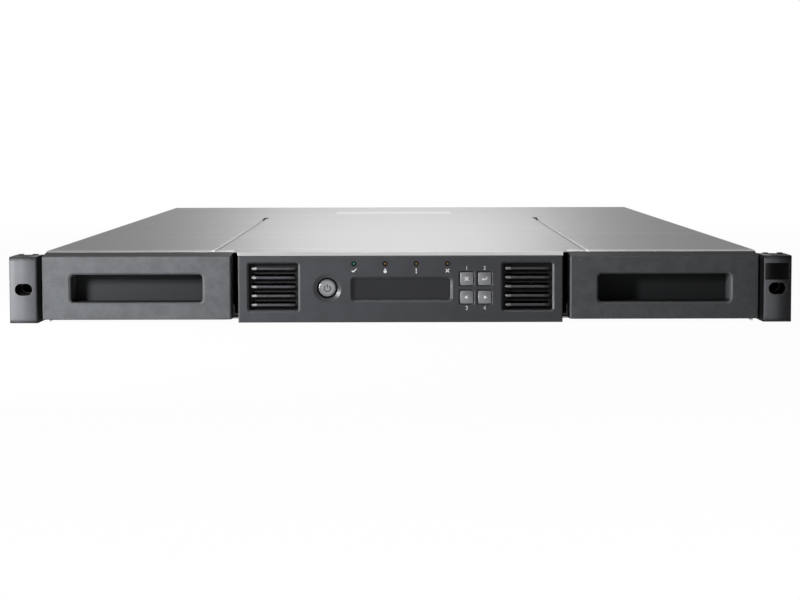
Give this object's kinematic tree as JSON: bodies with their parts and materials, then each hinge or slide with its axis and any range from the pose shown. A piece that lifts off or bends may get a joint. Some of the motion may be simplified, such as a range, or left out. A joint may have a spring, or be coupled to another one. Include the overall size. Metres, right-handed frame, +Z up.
{
  "type": "tape autoloader",
  "caption": "Flat rack-mount tape autoloader with sliding cartridge magazines beside a control panel with display, keys and vents, a travelling picker inside and a rear tape drive.",
  "frame": {"origin": "middle of the bounding box on the underside of the pan", "axes": "+X to the right of someone facing the control panel, +Y to the rear, +Z up"},
  "size_m": [0.4826, 0.81, 0.0442],
  "materials": {
    "cover_metal": "brushed",
    "zinc_sheet": "satin",
    "bright_steel": "polished",
    "spring_steel": "polished",
    "dark_trim": "matte",
    "panel_plastic": "matte",
    "magazine_plastic": "matte",
    "tray_plastic": "matte",
    "key_plastic": "satin",
    "button_silver": "satin",
    "window_plastic": "gloss",
    "module_glass": "gloss",
    "board_laminate": "satin",
    "black_moulding": "satin",
    "green_light": "gloss",
    "amber_light": "gloss",
    "motor_metal": "satin",
    "belt_rubber": "matte",
    "gear_plastic": "satin",
    "drive_metal": "satin",
    "component_mix": "satin",
    "port_metal": "satin",
    "cable_grey": "matte"
  },
  "bodies": {
    "chassis": {"base_pan": "zinc_sheet", "top_cover": "cover_metal", "rear_panel": "zinc_sheet", "side_screws": "bright_steel", "rack_ear_left": "zinc_sheet", "rack_ear_right": "zinc_sheet", "ear_cap_left": "dark_trim", "ear_cap_right": "dark_trim", "control_panel": "panel_plastic", "display_window": "window_plastic", "display_module": "module_glass", "control_board": "board_laminate", "key_switches": "black_moulding", "ready_light": "green_light", "status_lights": "amber_light", "magazine_rails": "zinc_sheet", "latch_solenoids": "motor_metal", "pivot_posts": "bright_steel", "carriage_rods": "bright_steel", "rod_supports": "tray_plastic", "drive_belt": "belt_rubber", "carriage_motor": "motor_metal", "motor_bracket": "zinc_sheet", "tape_drive": "drive_metal", "drive_sled": "zinc_sheet", "drive_plate": "zinc_sheet", "sled_knobs": "bright_steel", "power_supply": "drive_metal", "fan_frame": "black_moulding", "power_inlet": "black_moulding", "controller_board": "board_laminate", "controller_parts": "component_mix", "rear_ports": "port_metal", "panel_cable": "cable_grey"},
    "left_magazine": {"left_magazine_front": "magazine_plastic", "left_magazine_tray": "tray_plastic", "left_magazine_springs": "spring_steel"},
    "right_magazine": {"right_magazine_front": "magazine_plastic", "right_magazine_tray": "tray_plastic", "right_magazine_springs": "spring_steel"},
    "carriage": {"carriage": "zinc_sheet", "thrust_ring": "bright_steel", "turn_motor": "motor_metal"},
    "picker": {"turntable": "tray_plastic", "picker_frame": "zinc_sheet", "barcode_reader": "black_moulding", "gripper_motor": "motor_metal"},
    "gripper": {"gripper_arm": "gear_plastic"},
    "power_button": {"power_button": "button_silver"},
    "cancel_key": {"cancel_key": "key_plastic"},
    "enter_key": {"enter_key": "key_plastic"},
    "previous_key": {"previous_key": "key_plastic"},
    "next_key": {"next_key": "key_plastic"},
    "latch_left": {"latch_left": "tray_plastic"},
    "latch_right": {"latch_right": "tray_plastic"},
    "idler_pulley": {"idler_pulley": "gear_plastic"},
    "motor_pulley": {"motor_pulley": "gear_plastic"},
    "turn_pinion": {"turn_pinion": "gear_plastic"},
    "gripper_pinion": {"gripper_pinion": "gear_plastic"},
    "fan_rotor": {"fan_rotor": "black_moulding"}
  },
  "joints": [
    {"name": "left_magazine_slide", "type": "slide", "parent": "chassis", "child": "left_magazine", "axis": [0, -1, 0], "range_m": [0, 0.48]},
    {"name": "right_magazine_slide", "type": "slide", "parent": "chassis", "child": "right_magazine", "axis": [0, -1, 0], "range_m": [0, 0.48]},
    {"name": "carriage_travel", "type": "slide", "parent": "chassis", "child": "carriage", "axis": [0, -1, 0], "range_m": [0, 0.4025]},
    {"name": "idler_pulley_spin", "type": "hinge", "parent": "chassis", "child": "idler_pulley", "pos_m": [-0.084, -0.361, 0.005], "axis": [0, 0, 1], "range_deg": [-3850, 5]},
    {"name": "motor_pulley_spin", "type": "hinge", "parent": "chassis", "child": "motor_pulley", "pos_m": [-0.084, 0.181, 0.005], "axis": [0, 0, 1], "range_deg": [-3850, 5]},
    {"name": "picker_turn", "type": "hinge", "parent": "carriage", "child": "picker", "pos_m": [0, 0.113, 0.0097], "axis": [0, 0, 1], "range_deg": [-90, 90]},
    {"name": "turn_pinion_spin", "type": "hinge", "parent": "carriage", "child": "turn_pinion", "pos_m": [0.086, 0.113, 0.01], "axis": [0, 0, 1], "range_deg": [-395, 395]},
    {"name": "gripper_reach", "type": "slide", "parent": "picker", "child": "gripper", "axis": [0, 1, 0], "range_m": [0, 0.07]},
    {"name": "gripper_pinion_spin", "type": "hinge", "parent": "picker", "child": "gripper_pinion", "pos_m": [0.053, 0.131, 0.0178], "axis": [1, 0, 0], "range_deg": [-1010, 5]},
    {"name": "fan_spin", "type": "hinge", "parent": "chassis", "child": "fan_rotor", "pos_m": [-0.186, 0.385, 0.022], "axis": [0, 1, 0], "continuous": true},
    {"name": "power_button_press", "type": "slide", "parent": "chassis", "child": "power_button", "axis": [0, 1, 0], "range_m": [0, 0.0015], "stiffness_N_per_m": 900},
    {"name": "cancel_key_press", "type": "slide", "parent": "chassis", "child": "cancel_key", "axis": [0, 1, 0], "range_m": [0, 0.001], "stiffness_N_per_m": 900},
    {"name": "enter_key_press", "type": "slide", "parent": "chassis", "child": "enter_key", "axis": [0, 1, 0], "range_m": [0, 0.001], "stiffness_N_per_m": 900},
    {"name": "previous_key_press", "type": "slide", "parent": "chassis", "child": "previous_key", "axis": [0, 1, 0], "range_m": [0, 0.001], "stiffness_N_per_m": 900},
    {"name": "next_key_press", "type": "slide", "parent": "chassis", "child": "next_key", "axis": [0, 1, 0], "range_m": [0, 0.001], "stiffness_N_per_m": 900},
    {"name": "left_latch_turn", "type": "hinge", "parent": "chassis", "child": "latch_left", "pos_m": [-0.177, 0.133, 0.019], "axis": [0, 0, 1], "range_deg": [0, 20]},
    {"name": "right_latch_turn", "type": "hinge", "parent": "chassis", "child": "latch_right", "pos_m": [0.177, 0.133, 0.019], "axis": [0, 0, -1], "range_deg": [0, 20]}
  ],
  "couplings": [
    {"joint": "idler_pulley_spin", "follows": "carriage_travel", "rad_per_m": -166.67},
    {"joint": "motor_pulley_spin", "follows": "carriage_travel", "rad_per_m": -166.67},
    {"joint": "turn_pinion_spin", "follows": "picker_turn", "ratio": -4.375},
    {"joint": "gripper_pinion_spin", "follows": "gripper_reach", "rad_per_m": -250}
  ]
}
